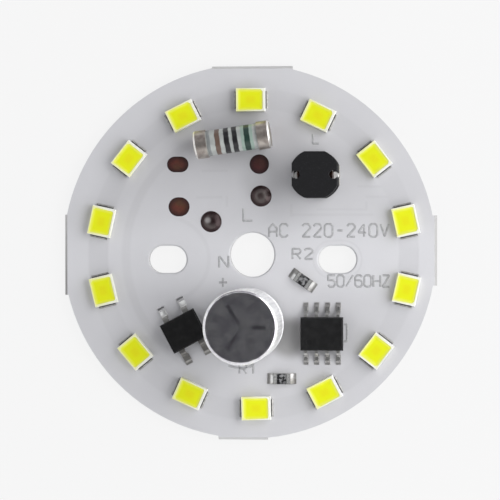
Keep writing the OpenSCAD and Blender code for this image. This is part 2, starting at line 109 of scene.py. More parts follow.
def flatten(tree, vector):
    return put(tree, "VectorMath", {0: vector, 1: (1, 1, 0)}, operation="MULTIPLY").outputs["Vector"]


def length(tree, vector):
    return put(tree, "VectorMath", {0: vector}, operation="LENGTH").outputs["Value"]


def distance(tree, flat, point):
    return put(tree, "VectorMath", {0: flat, 1: (*point, 0)}, operation="DISTANCE").outputs["Value"]


def spotMask(tree, flat, middle, limits):  # round spot; limits: distances where it starts and is full
    return rise(tree, distance(tree, flat, middle), *limits)


def spotsMask(tree, flat, spots):  # several spots, each with its share
    masks = [times(tree, spotMask(tree, flat, middle, limits), share) for middle, limits, share in spots]
    return gather(tree, "MAXIMUM", masks)


def measureFrom(tree, spot, **pose):  # the same point, as measured from a placed, turned or scaled origin
    return put(tree, "Mapping", {"Vector": spot, **pose}, vector_type="TEXTURE").outputs["Vector"]


def rgb(red, green, blue):
    return (red, green, blue, 1.0)


def startGroup(name, takes, gives):  # sockets by name and kind
    group = bpy.data.node_groups.new(name, "ShaderNodeTree")
    for way, sockets in (("INPUT", takes), ("OUTPUT", gives)):
        for socketName, kind in sockets.items():
            group.interface.new_socket(socketName, in_out=way, socket_type="NodeSocket" + kind)
    return group, put(group, "NodeGroupInput").outputs


def startLook(name):
    look = bpy.data.materials.new(name)
    look.use_nodes = True
    tree = look.node_tree
    shader = tree.nodes["Principled BSDF"]
    place = put(tree, "TexCoord").outputs["Object"]
    spot = put(tree, "Mapping", {"Vector": place, "Scale": (1000, 1000, 1000)}).outputs["Vector"]  # in mm
    return look, tree, shader, spot


def setShader(tree, shader, **values):
    feed(tree, shader, {name.replace("_", " "): value for name, value in values.items()})


def raiseSurface(tree, shader, height, normal=None):  # height in mm
    feeds = {"Height": height, "Distance": mm}
    if normal is not None:
        feeds["Normal"] = normal
    setShader(tree, shader, Normal=put(tree, "Bump", feeds).outputs["Normal"])


# effects that several finishes share

def makePatches():  # soft blotches of one size, as a mask
    takes = {"Vector": "Vector", "Size": "Float", "Low": "Float", "High": "Float"}
    group, given = startGroup("patches", takes, {"Mask": "Float"})
    scale = reckon(group, "DIVIDE", 1.0, given["Size"])
    noise = put(group, "TexNoise", {"Vector": given["Vector"], "Scale": scale, "Detail": 3.0})
    mask = rise(group, noise.outputs["Fac"], given["Low"], given["High"])
    put(group, "NodeGroupOutput", {"Mask": mask})
    return group


def makeStreaks():  # fine lines drawn out along one direction
    group, given = startGroup("streaks", {"Vector": "Vector", "Fineness": "Vector"}, {"Lines": "Float"})
    drawn = put(group, "VectorMath", {0: given["Vector"], 1: given["Fineness"]}, operation="MULTIPLY")
    noise = put(group, "TexNoise", {"Vector": drawn.outputs["Vector"], "Scale": 1.0, "Detail": 4.0})
    put(group, "NodeGroupOutput", {"Lines": noise.outputs["Fac"]})
    return group


rubPlan = {"samples": 6, "edge": (0.998, 0.9)}  # edge: cosine between the true and the rounded normal


def makeEdgeRub(p):  # where two faces meet: a mask, and a normal that rounds the edge
    group, given = startGroup("edgeRub", {"Width": "Float"}, {"Edge": "Float", "Normal": "Vector"})
    width = times(group, given["Width"], mm)
    rounded = put(group, "Bevel", {"Radius": width}, samples=p["samples"]).outputs[0]
    true = put(group, "NewGeometry").outputs["Normal"]
    facing = put(group, "VectorMath", {0: rounded, 1: true}, operation="DOT_PRODUCT").outputs["Value"]
    put(group, "NodeGroupOutput", {"Edge": rise(group, facing, *p["edge"]), "Normal": rounded})
    return group


curveMargin = 0.2  # mm below the nearest lamp, so that the seat curve stays above 0
lampNames = sorted(name for name in nodes if name.startswith("led_phosphor"))
lampPlaces = [(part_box(name)[0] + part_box(name)[1]) / 2 for name in lampNames]
lampTurns = [math.atan2(place.y, place.x) / math.tau % 1 for place in lampPlaces]  # in turns from +X
lampRadii = [place.xy.length / mm for place in lampPlaces]
ringFloor = min(lampRadii) - curveMargin


def fillCurve(curve, first, pairs, last):
    points = curve.mapping.curves[0].points
    points[0].location = (0, first)
    points[1].location = (1, last)
    for turn, value in pairs:
        points.new(turn, value)
    for point in points:
        point.handle_type = "VECTOR"
    curve.mapping.update()


def makeLedPlace():  # where a point lies from the nearest lamp's middle: round the ring, and outwards
    gives = {"Along": "Float", "Across": "Float", "Radius": "Float"}
    group, given = startGroup("ledPlace", {"Vector": "Vector"}, gives)
    count = len(lampTurns)
    flat = flatten(group, given["Vector"])
    radius = length(group, flat)
    xyz = axes(group, flat)
    turn = reckon(group, "DIVIDE", reckon(group, "ARCTAN2", xyz["Y"], xyz["X"]), math.tau)
    turn = reckon(group, "FRACT", turn)
    evened = put(group, "FloatCurve", {"Value": turn})  # evens out the lamps' spacing
    fillCurve(evened, 0, [(lampTurn, (index + 0.5) / count) for index, lampTurn in enumerate(lampTurns)], 1)
    step = times(group, evened.outputs["Value"], count)
    offset = reckon(group, "SUBTRACT", reckon(group, "FRACT", step), 0.5)
    along = times(group, times(group, offset, radius), math.tau / count)
    seat = put(group, "FloatCurve", {"Value": turn})  # how far out the lamps sit
    outs = [lampRadius - ringFloor for lampRadius in lampRadii]
    fillCurve(seat, outs[0], zip(lampTurns, outs), outs[-1])
    seatRadius = reckon(group, "ADD", seat.outputs["Value"], ringFloor)
    across = reckon(group, "SUBTRACT", radius, seatRadius)
    put(group, "NodeGroupOutput", {"Along": along, "Across": across, "Radius": radius})
    return group


patches = makePatches()
streaks = makeStreaks()
edgeRub = makeEdgeRub(rubPlan)
ledPlace = makeLedPlace()


def patchMask(tree, spot, size, low, high):
    feeds = {"Vector": spot, "Size": size, "Low": low, "High": high}
    return put(tree, "Group", feeds, node_tree=patches).outputs["Mask"]


def streakLines(tree, spot, fineness):
    return put(tree, "Group", {"Vector": spot, "Fineness": fineness}, node_tree=streaks).outputs["Lines"]


def rubbed(tree, width):
    return put(tree, "Group", {"Width": width}, node_tree=edgeRub).outputs


def lampPlace(tree, spot):
    return put(tree, "Group", {"Vector": spot}, node_tree=ledPlace).outputs


# finishes, in mm: patches have a size and two limits, relief is a height, rub is the width of a rubbed edge

boardFinish = {
    "mask": rgb(0.7, 0.697, 0.718),
    "maskLow": rgb(0.5, 0.496, 0.512),  # laminate between copper islands shows darker; painted shade darkens towards it too
    "score": rgb(0.56, 0.555, 0.55),
    "scoreShade": rgb(0.33, 0.325, 0.32),  # painted shade: darker at the left tab, most at its lower end
    "scoreRight": rgb(0.43, 0.425, 0.42),
    "leftTabShade": {"x": (-18.0, -21.0), "y": (7.0, -5.0)},
    "rightTab": (17.0, 20.0),
    "metal": rgb(0.58, 0.58, 0.59),
    "brushed": rgb(0.44, 0.44, 0.45),
    "backLines": (0.07, 8.0, 3.0),
    "wallLines": (6.0, 6.0, 0.4),
    "brush": (0.35, 0.65),
    "skin": rgb(0.72, 0.71, 0.66),  # insulating layer between the metal and the mask
    "skinDeep": (0.16, 0.13),
    # how far each kind of face looks up
    "level": (0.8, 0.95),
    "upright": (0.5, 0.2),
    "sawn": ((0.2, 0.4), (0.95, 0.8)),
    "slot": {"x": 10.0, "y": -0.55, "straight": 0.625, "radius": 1.6},
    "hole": 2.6,
    "rim": (-0.02, 0.2),  # the mask rolls over at a rim
    # no copper between neighbouring lamps: ring radii, start beside a lamp, plainest in line with the slots
    "block": {"start": (16.95, 17.35), "end": (19.7, 19.3), "beside": (1.85, 2.2), "inLine": (5.0, 3.0),
              "share": (0.4, 1.0)},
    # etched strip inside the lamp ring, round the left half
    "gap": {"start": (14.25, 14.75), "end": (15.75, 15.25), "side": (-6.0, -9.0), "share": 0.6},
    # clearance arc round the left slot, and the line etched round the right one
    "arc": {"radius": 4.85, "soft": (0.4, 0.05), "side": (0.5, 2.0), "share": 0.5},
    "moat": {"radius": 0.6, "soft": (0.2, 0.03), "side": (2.0, 4.0), "share": 0.5},
    # lines etched between copper islands: middle and half sizes
    "etched": [(-4.4, 9.9, 1.5, 0.12), (-5.1, 6.75, 1.5, 0.12), (-3.0, 6.25, 0.12, 0.6),
               (9.4, 4.7, 4.8, 0.12), (10.5, 5.3, 2.9, 0.1), (4.6, 5.2, 0.12, 0.7),
               (13.4, 5.7, 0.12, 0.5), (15.0, 6.75, 1.6, 0.12), (14.6, 8.0, 2.2, 0.12)],
    "etchedSoft": (0.12, -0.06),
    "etchedShare": 0.45,
    # broad painted light and shade: a painted highlight band, palest in line with the slots, and painted
    # shade, darkest at the upper left inside the lamps
    "inner": (21.5, 17.5),
    "upper": {"x": (10.0, -2.0), "y": (2.5, 9.0), "share": 0.4},
    "lower": {"x": (-4.0, 4.0), "y": (-5.0, -9.0), "share": 0.1},
    "pale": (5.5, 1.5),
    "paintedHighlightTone": (0.3, 0.0),
    "lowTone": 0.28,
    "mottle": (3.5, 0.3, 0.75),
    "mottleTone": 0.07,
    # painted shade on the mask beside the driver, and round the wire pads where the inductor's shadow
    # reaches: middle, limits and share
    "paintedShadeStains": [((4.7, -9.6), (2.6, 0.78), 0.6), ((1.5, 9.0), (3.8, 1.14), 0.4)],
    "fluxAndShade": rgb(0.375, 0.37, 0.37),  # painted shade at its darkest, in the narrow lane between the can and the driver
    "shadeLane": ((4.25, -9.75), (3.0, 1.4)),
    "grain": (0.22, 0.2, 0.8),
    "handled": (7.0, 0.42, 0.68),
    "relief": {"low": -0.012, "rim": 0.12, "grain": 0.002, "back": 0.004},
    "roughness": {"mask": 0.5, "metal": (0.34, 0.42), "handled": 0.12, "mottle": 0.05},
    "specular": 0.35,
}


def boardCorner(tree, xyz, limits):
    return times(tree, rise(tree, xyz["X"], *limits["x"]), rise(tree, xyz["Y"], *limits["y"]))


def makeBoardLook(p):
    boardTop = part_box("board")[1].z / mm
    look, tree, shader, spot = startLook("whiteMaskBoard")
    xyz = axes(tree, spot)
    facing = axes(tree, put(tree, "NewGeometry").outputs["Normal"])["Z"]
    top = rise(tree, facing, *p["level"])
    place = lampPlace(tree, spot)
    radius = place["Radius"]
    # where the copper is etched away under the mask
    block = band(tree, radius, p["block"]["start"], p["block"]["end"])
    block = times(tree, block, rise(tree, reckon(tree, "ABSOLUTE", place["Along"]), *p["block"]["beside"]))
    inLine = rise(tree, reckon(tree, "ABSOLUTE", xyz["Y"]), *p["block"]["inLine"])
    block = times(tree, block, span(tree, inLine, *p["block"]["share"]))
    gap = band(tree, radius, p["gap"]["start"], p["gap"]["end"])
    gap = times(tree, gap, rise(tree, xyz["X"], *p["gap"]["side"]))
    slotX = reckon(tree, "ADD", xyz["X"], p["slot"]["x"])
    slotY = reckon(tree, "SUBTRACT", xyz["Y"], p["slot"]["y"])
    fromArc = apart(tree, hypotenuse(tree, slotX, slotY), p["arc"]["radius"])
    arc = times(tree, rise(tree, fromArc, *p["arc"]["soft"]), rise(tree, slotX, *p["arc"]["side"]))
    # distance to the rims of the two slots
    sideX = apart(tree, reckon(tree, "ABSOLUTE", xyz["X"]), p["slot"]["x"])
    sideX = reckon(tree, "MAXIMUM", reckon(tree, "SUBTRACT", sideX, p["slot"]["straight"]), 0.0)
    toSlot = reckon(tree, "SUBTRACT", hypotenuse(tree, sideX, slotY), p["slot"]["radius"])
    fromMoat = apart(tree, toSlot, p["moat"]["radius"])
    moat = times(tree, rise(tree, fromMoat, *p["moat"]["soft"]), rise(tree, xyz["X"], *p["moat"]["side"]))
    toHole = reckon(tree, "SUBTRACT", radius, p["hole"])
    rim = rise(tree, reckon(tree, "MINIMUM", toSlot, toHole), *p["rim"])
    lows = [block]
    for mask, name in ((gap, "gap"), (arc, "arc"), (moat, "moat")):
        lows.append(times(tree, mask, p[name]["share"]))
    outer, inner = p["etchedSoft"]
    for middleX, middleY, halfX, halfY in p["etched"]:
        line = times(tree, rise(tree, apart(tree, xyz["X"], middleX), halfX + outer, halfX + inner),
                     rise(tree, apart(tree, xyz["Y"], middleY), halfY + outer, halfY + inner))
        lows.append(times(tree, line, p["etchedShare"]))
    low = gather(tree, "MAXIMUM", lows)
    # the mask's tone
    # painted light and shade on the mask: darker at the upper left and lower middle, paler in a band in
    # line with the slots
    upper = boardCorner(tree, xyz, p["upper"])
    lower = times(tree, boardCorner(tree, xyz, p["lower"]), p["lower"]["share"])
    paintedShade = reckon(tree, "MULTIPLY_ADD", upper, p["upper"]["share"], lower)
    pale = rise(tree, reckon(tree, "ABSOLUTE", slotY), *p["pale"])
    mottle = patchMask(tree, spot, *p["mottle"])
    tone = span(tree, pale, *p["paintedHighlightTone"])
    tone = reckon(tree, "MULTIPLY_ADD", paintedShade, rise(tree, radius, *p["inner"]), tone)
    tone = reckon(tree, "MULTIPLY_ADD", low, p["lowTone"], tone)
    tone = reckon(tree, "MULTIPLY_ADD", mottle, p["mottleTone"], tone)
    flat = flatten(tree, spot)
    # painted shade beside the driver and where the inductor's shadow reaches the wire pads
    for middle, limits, share in p["paintedShadeStains"]:
        tone = reckon(tree, "MULTIPLY_ADD", spotMask(tree, flat, middle, limits), share, tone)
    maskTone = tint(tree, tone, p["mask"], p["maskLow"])
    # painted shade, darkest in the lane between the can and the driver
    maskTone = tint(tree, spotMask(tree, flat, *p["shadeLane"]), maskTone, p["fluxAndShade"])
    # bare metal: the back brushed along X, the walls punched, the sawn score faces dull
    wall = rise(tree, reckon(tree, "ABSOLUTE", facing), *p["upright"])
    lines = [streakLines(tree, spot, p[name]) for name in ("backLines", "wallLines")]
    brush = rise(tree, blend(tree, wall, *lines), *p["brush"])
    skinLow, skinHigh = p["skinDeep"]
    skin = times(tree, wall, rise(tree, xyz["Z"], boardTop - skinLow, boardTop - skinHigh))
    metalTone = tint(tree, brush, p["metal"], p["brushed"])
    metalTone = tint(tree, skin, metalTone, p["skin"])
    score = band(tree, facing, *p["sawn"])
    scoreTone = tint(tree, rise(tree, xyz["X"], *p["rightTab"]), p["score"], p["scoreRight"])
    # painted shade on the left tab's score face, most at its lower end
    scoreTone = tint(tree, boardCorner(tree, xyz, p["leftTabShade"]), scoreTone, p["scoreShade"])
    metalTone = tint(tree, score, metalTone, scoreTone)
    metal = gather(tree, "MULTIPLY", [reckon(tree, "SUBTRACT", 1.0, mask) for mask in (top, score, skin)])
    rough = p["roughness"]
    handled = patchMask(tree, spot, *p["handled"])
    bare = reckon(tree, "MULTIPLY_ADD", handled, rough["handled"], span(tree, brush, *rough["metal"]))
    roughness = reckon(tree, "MULTIPLY_ADD", mottle, rough["mottle"], blend(tree, top, bare, rough["mask"]))
    relief = p["relief"]
    grain = patchMask(tree, spot, *p["grain"])
    front = gather(tree, "ADD", [times(tree, low, relief["low"]), times(tree, rim, relief["rim"]),
                                 times(tree, grain, relief["grain"])])
    raiseSurface(tree, shader, blend(tree, top, times(tree, brush, relief["back"]), front))
    setShader(tree, shader, Base_Color=tint(tree, top, metalTone, maskTone), Roughness=roughness,
              Metallic=metal, Specular_IOR_Level=p["specular"])
    return look


copperFinish = {
    "red": rgb(0.17, 0.05, 0.036),
    "brown": rgb(0.135, 0.066, 0.036),
    "dark": rgb(0.06, 0.024, 0.023),
    "darkShare": 0.35,
    "plum": rgb(0.06, 0.022, 0.032),
    "rim": rgb(0.03, 0.015, 0.018),
    "rimShare": 0.8,
    # bare pads: middle, reach, and how far each has gone to plum
    "pads": [((-8.8, 10.65), (1.28, 0.93), 0.1), ((-8.65, 5.65), (1.25, 1.13), 0.0),
             ((0.85, 10.65), (1.15, 1.15), 0.6)],
    "plumEnd": (1.3, 1.1),  # in reaches from a pad's middle
    "rimStart": (0.3, 1.0),
    "broad": (1.3, 0.35, 0.65),
    "fine": (0.45, 0.35, 0.7),
    "rub": 0.2,
    "metal": 0.35,
    "roughness": (0.35, 0.55),
    "relief": 0.006,
}


def makeCopperLook(p):
    look, tree, shader, spot = startLook("tarnishedCopper")
    fine = patchMask(tree, spot, *p["fine"])
    color = tint(tree, patchMask(tree, spot, *p["broad"]), p["red"], p["brown"])
    reaches = []
    for middle, (reachX, reachY), plum in p["pads"]:
        pad = measureFrom(tree, spot, Location=(*middle, 0), Scale=(reachX, reachY, 1))
        reach = length(tree, flatten(tree, pad))
        color = tint(tree, times(tree, rise(tree, reach, *p["plumEnd"]), plum), color, p["plum"])
        reaches.append(reach)
    away = gather(tree, "MINIMUM", reaches)
    color = tint(tree, times(tree, fine, p["darkShare"]), color, p["dark"])
    color = tint(tree, times(tree, rise(tree, away, *p["rimStart"]), p["rimShare"]), color, p["rim"])
    edge = rubbed(tree, p["rub"])["Edge"]  # flux dries dark along the mask's edge
    setShader(tree, shader, Base_Color=tint(tree, edge, color, p["rim"]), Metallic=p["metal"],
              Roughness=span(tree, fine, *p["roughness"]))
    raiseSurface(tree, shader, times(tree, fine, p["relief"]))
    return look


domeFinish = {
    "crown": rgb(0.13, 0.11, 0.105),
    "dull": rgb(0.07, 0.047, 0.047),
    "skirt": rgb(0.027, 0.012, 0.013),  # burnt flux at the domes' edges; also the colour of the left dome's darker side
    "middles": [(1.05, 6.9), (-4.85, 3.9)],
    # painted reflection: a lighter ring round each dome's crown, in the crown colour
    "ring": ((0.2, 0.45), (0.75, 0.55)),
    "skirtStart": (0.702, 0.9945),
    # the left dome: darker towards one side, and a painted highlight, a spot of bare solder, on the other
    # (middle and limits)
    "darkSide": ((-4.25, 4.15), (1.2, 0.24)),
    "glintSpot": ((-5.2, 4.05), (0.5, 0.1)),
    "solder": rgb(0.42, 0.395, 0.39),
    "frost": (0.9, 0.4, 0.62),
    "frostShare": 0.6,
    "wrinkle": (0.8, 0.25, 0.75),
    "metal": 0.45,
    "roughness": (0.3, 0.42),
    "relief": 0.02,
}


def makeDomeLook(p):
    look, tree, shader, spot = startLook("wireSolderDome")
    flat = flatten(tree, spot)
    away = gather(tree, "MINIMUM", [distance(tree, flat, middle) for middle in p["middles"]])
    frost = patchMask(tree, spot, *p["frost"])
    # frosted patches, and the painted reflection ring round each crown
    bright = reckon(tree, "MAXIMUM", times(tree, frost, p["frostShare"]), band(tree, away, *p["ring"]))
    color = tint(tree, bright, p["dull"], p["crown"])
    # the left dome: darker towards one side, and a painted highlight of bare solder
    color = tint(tree, spotMask(tree, flat, *p["darkSide"]), color, p["skirt"])
    color = tint(tree, spotMask(tree, flat, *p["glintSpot"]), color, p["solder"])
    color = tint(tree, rise(tree, away, *p["skirtStart"]), color, p["skirt"])
    setShader(tree, shader, Base_Color=color, Metallic=p["metal"],
              Roughness=span(tree, frost, *p["roughness"]))
    raiseSurface(tree, shader, times(tree, patchMask(tree, spot, *p["wrinkle"]), p["relief"]))
    return look


housingFinish = {
    "face": rgb(0.98, 0.98, 0.965),
    "shade": rgb(0.95, 0.95, 0.925),
    "paintedGlow": rgb(0.9, 0.9, 0.33),  # painted glow: the fill's yellow light painted on the cup's inner edge
    "paintedGlowReach": (0.32, 0.1),
    "paintedGlowSide": (-1.3, 1.5),  # the painted glow is plainest on the side away from the key lamp
    "paintedGlowShare": (0.9, 0.25),
    "window": (1.45, 1.2),
    "cloud": (0.8, 0.35, 0.7),
    "grain": (0.06, 0.2, 0.8),
    "rub": 0.05,
    "roughness": (0.32, 0.42),
    "relief": 0.001,
}


def makeHousingLook(p):
    look, tree, shader, spot = startLook("lampCupWhite")
    grain = patchMask(tree, spot, *p["grain"])
    place = lampPlace(tree, spot)
    outX = reckon(tree, "SUBTRACT", reckon(tree, "ABSOLUTE", place["Along"]), p["window"][0])
    outY = reckon(tree, "SUBTRACT", reckon(tree, "ABSOLUTE", place["Across"]), p["window"][1])
    # painted glow of the yellow fill on the cup's inner edge, plainest on the side away from the key lamp
    paintedGlow = rise(tree, reckon(tree, "MAXIMUM", outX, outY), *p["paintedGlowReach"])
    unit = axes(tree, put(tree, "VectorMath", {0: spot}, operation="NORMALIZE").outputs["Vector"])
    right = reckon(tree, "SUBTRACT", times(tree, place["Across"], unit["X"]),
                   times(tree, place["Along"], unit["Y"]))
    share = span(tree, rise(tree, right, *p["paintedGlowSide"]), *p["paintedGlowShare"])
    color = tint(tree, patchMask(tree, spot, *p["cloud"]), p["face"], p["shade"])
    color = tint(tree, times(tree, paintedGlow, share), color, p["paintedGlow"])
    setShader(tree, shader, Base_Color=color, Roughness=span(tree, grain, *p["roughness"]))
    raiseSurface(tree, shader, times(tree, grain, p["relief"]), rubbed(tree, p["rub"])["Normal"])
    return look


phosphorFinish = {
    "fill": rgb(0.84, 0.88, 0.012),
    "die": rgb(0.83, 0.78, 0.01),
    "dieShare": 0.65,
    "rim": rgb(0.89, 0.92, 0.14),
    # limits along and across a lamp
    "dieLimits": ((0.9, 0.2), (0.75, 0.15)),
    "rimLimits": ((1.05, 1.5), (0.8, 1.25)),
    "grain": (0.09, 0.3, 0.8),
    "roughness": (0.3, 0.42),
    "dish": 0.04,  # the fill climbs the cup's wall
    "relief": 0.002,
}


def makePhosphorLook(p):
    look, tree, shader, spot = startLook("phosphorFill")
    place = lampPlace(tree, spot)
    offsets = [reckon(tree, "ABSOLUTE", place[way]) for way in ("Along", "Across")]
    die = [rise(tree, offset, *limits) for offset, limits in zip(offsets, p["dieLimits"])]
    rim = [rise(tree, offset, *limits) for offset, limits in zip(offsets, p["rimLimits"])]
    rim = gather(tree, "MAXIMUM", rim)
    grain = patchMask(tree, spot, *p["grain"])
    color = tint(tree, times(tree, gather(tree, "MULTIPLY", die), p["dieShare"]), p["fill"], p["die"])
    color = tint(tree, rim, color, p["rim"])
    setShader(tree, shader, Base_Color=color, Roughness=span(tree, grain, *p["roughness"]))
    dish = times(tree, rim, p["dish"])
    raiseSurface(tree, shader, reckon(tree, "ADD", dish, times(tree, grain, p["relief"])))
    return look


solderFinish = {
    "bright": rgb(0.82, 0.82, 0.83),
    "dull": rgb(0.6, 0.6, 0.61),
    "fluxAndShade": rgb(0.3, 0.29, 0.275),
    "fluxRough": 0.2,
    # joints greyed as dried flux and as painted shade that dulls their highlights: middle, limits and share
    "fluxAndShadeSpots": [((7.6, 9.3), (4.6, 4.2), 1.0), ((3.5, -14.55), (2.6, 2.2), 0.7),
                  ((6.0, -3.0), (2.6, 2.2), 0.7), ((-6.5, -12.0), (2.1, 1.7), 0.8),
                  ((8.25, -9.25), (4.4, 4.0), 0.6), ((4.75, -15.3), (1.1, 0.7), 1.0)],
    # painted highlights: white glints on the chip resistors' joints, above their lands
    "glintWhite": rgb(0.97, 0.97, 0.96),
    "jointGlintSpots": [((2.2, -14.6), (0.62, 0.372), 1.0), ((4.65, -14.4), (0.5, 0.3), 0.1),
                   ((4.85, -2.6), (0.5, 0.3), 1.0), ((7.1, -3.6), (0.55, 0.33), 0.25)],
    "aboveLand": (1.08, 1.18),
    "frost": (0.35, 0.35, 0.7),
    "wave": (0.6, 0.2, 0.8),
    "rub": 0.06,
    "metal": (1.0, 0.35),
    "roughness": (0.28, 0.4),
    "relief": 0.02,
}


def makeSolderLook(p):
    look, tree, shader, spot = startLook("reflowSolder")
    frost = patchMask(tree, spot, *p["frost"])
    wave = patchMask(tree, spot, *p["wave"])
    flat = flatten(tree, spot)
    # grey of dried flux, also painted shade where it dulls the joints' highlights
    fluxAndShade = spotsMask(tree, flat, p["fluxAndShadeSpots"])
    raised = rise(tree, axes(tree, spot)["Z"], *p["aboveLand"])
    # painted highlights: white glints on the chip joints, only above the lands
    white = times(tree, spotsMask(tree, flat, p["jointGlintSpots"]), raised)
    color = tint(tree, fluxAndShade, tint(tree, frost, p["bright"], p["dull"]), p["fluxAndShade"])
    color = tint(tree, white, color, p["glintWhite"])
    roughness = reckon(tree, "MULTIPLY_ADD", fluxAndShade, p["fluxRough"], span(tree, frost, *p["roughness"]))
    setShader(tree, shader, Base_Color=color, Metallic=span(tree, white, *p["metal"]), Roughness=roughness)
    raiseSurface(tree, shader, times(tree, wave, p["relief"]), rubbed(tree, p["rub"])["Normal"])
    return look


leadFinish = {
    "bright": rgb(0.85, 0.85, 0.84),
    "dull": rgb(0.66, 0.66, 0.645),
    "glintWhite": rgb(1.0, 1.0, 0.99),
    "footGlintSpots": [((-8.3, -5.4), (0.6, 0.24)), ((-10.9, -7.0), (0.6, 0.24))],  # painted glints on the upper feet
    "lowerLeadShade": rgb(0.22, 0.21, 0.2),  # painted shade on the two lower leads
    "lowerLeadShadeShare": 0.95,
    "lowerLeadShadeSoft": 0.5,
    "riser": rgb(0.32, 0.315, 0.305),  # above the solder that wets the foot
    "wetted": (1.35, 1.6),
    "cloud": (0.5, 0.35, 0.7),
    "rub": 0.04,
    "metal": 0.5,
    "roughness": (0.38, 0.5),
    "relief": 0.006,
}


def makeLeadLook(p):  # satin tin on the bridge's leads
    look, tree, shader, spot = startLook("satinLead")
    cloud = patchMask(tree, spot, *p["cloud"])
    xyz = axes(tree, spot)
    color = tint(tree, cloud, p["bright"], p["dull"])
    color = tint(tree, rise(tree, xyz["Z"], *p["wetted"]), color, p["riser"])
    low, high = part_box("bridge_body")
    middle = (low.y + high.y) / 2 / mm
    # painted shade on the two lower leads
    lowerLeadShade = rise(tree, xyz["Y"], middle + p["lowerLeadShadeSoft"], middle - p["lowerLeadShadeSoft"])
    color = tint(tree, times(tree, lowerLeadShade, p["lowerLeadShadeShare"]), color, p["lowerLeadShade"])
    metal = p["metal"]
    flat = flatten(tree, spot)
    # painted glints, white and less metallic, on the upper feet
    for glintMiddle, limits in p["footGlintSpots"]:
        glint = spotMask(tree, flat, glintMiddle, limits)
        color = tint(tree, glint, color, p["glintWhite"])
        metal = reckon(tree, "MULTIPLY_ADD", glint, -p["metal"], metal)
    setShader(tree, shader, Base_Color=color, Metallic=metal, Roughness=span(tree, cloud, *p["roughness"]))
    raiseSurface(tree, shader, times(tree, cloud, p["relief"]), rubbed(tree, p["rub"])["Normal"])
    return look


def makePlainLook(p):  # two tones in soft patches, and what else p names
    look, tree, shader, spot = startLook(p["name"])
    cloud = patchMask(tree, spot, *p["cloud"])
    color = tint(tree, cloud, *p["tones"])
    rub = rubbed(tree, p["rub"]) if "rub" in p else {}
    if "edge" in p:
        color = tint(tree, rub["Edge"], color, p["edge"])
    setShader(tree, shader, Base_Color=color, Metallic=p.get("metal", 0.0), Coat_Weight=p.get("coat", 0.0),
              Roughness=span(tree, cloud, *p["roughness"]))
    rough = cloud
    if "lines" in p:
        rough = streakLines(tree, spot, p["lines"])
    elif "grain" in p:
        rough = patchMask(tree, spot, *p["grain"])
    if "relief" in p:
        raiseSurface(tree, shader, times(tree, rough, p["relief"]), rub.get("Normal"))
    return look


tinFinish = {
    "name": "tinnedLead",
    "tones": (rgb(0.66, 0.66, 0.65), rgb(0.44, 0.435, 0.42)),
    "cloud": (0.5, 0.35, 0.7),
    "lines": (9.0, 9.0, 2.0),
    "rub": 0.04,
    "metal": 1.0,
    "roughness": (0.34, 0.46),
    "relief": 0.004,
}
tabFinish = {  # lamp tabs, darkened as painted shade under the housing
    "name": "shadedLampTab",
    "tones": (rgb(0.15, 0.148, 0.14), rgb(0.08, 0.078, 0.075)),
    "cloud": (0.3, 0.35, 0.7),
    "rub": 0.05,
    "metal": 0.7,
    "roughness": (0.4, 0.55),
    "relief": 0.01,
}
jointFinish = {  # the joints outside the lamp tabs
    **tabFinish,
    "name": "lampJoint",
    "tones": (rgb(0.5, 0.495, 0.48), rgb(0.34, 0.335, 0.32)),
}
postFinish = {  # satin tin on the inductor's posts
    "name": "satinPost",
    "tones": (rgb(0.93, 0.93, 0.92), rgb(0.74, 0.73, 0.71)),
    "cloud": (0.5, 0.35, 0.7),
    "rub": 0.04,
    "metal": 0.5,
    "roughness": (0.38, 0.5),
    "relief": 0.006,
}
endFinish = {  # bright tin on the chip resistors' ends
    "name": "brightTinEnd",
    "tones": (rgb(0.58, 0.58, 0.57), rgb(0.42, 0.42, 0.41)),
    # painted shade along the ends' rounded edges
    "edge": rgb(0.1, 0.1, 0.1),
    "cloud": (0.25, 0.35, 0.7),
    "rub": 0.14,
    "metal": 0.5,
    "roughness": (0.26, 0.38),
    "relief": 0.006,
}
rubberFinish = {
    "name": "rubberBung",
    "tones": (rgb(0.035, 0.035, 0.035), rgb(0.07, 0.07, 0.068)),
    "cloud": (1.2, 0.4, 0.75),
    "grain": (0.12, 0.2, 0.8),
    "roughness": (0.6, 0.75),
    "relief": 0.004,
}
windingFinish = {
    "name": "enamelledWire",
    "tones": (rgb(0.07, 0.026, 0.014), rgb(0.03, 0.012, 0.008)),
    "cloud": (0.5, 0.35, 0.7),
    "metal": 0.85,
    "coat": 0.5,
    "roughness": (0.24, 0.34),
}
ceramicFinish = {
    "name": "aluminaSlip",
    "tones": (rgb(0.78, 0.77, 0.74), rgb(0.66, 0.65, 0.61)),
    "cloud": (0.08, 0.35, 0.75),
    "roughness": (0.5, 0.65),
    "relief": 0.003,
}
inkFinish = {
    "name": "legendInk",
    "tones": (rgb(0.41, 0.41, 0.42), rgb(0.54, 0.54, 0.55)),
    "cloud": (0.35, 0.4, 0.7),
    "roughness": (0.5, 0.65),
}


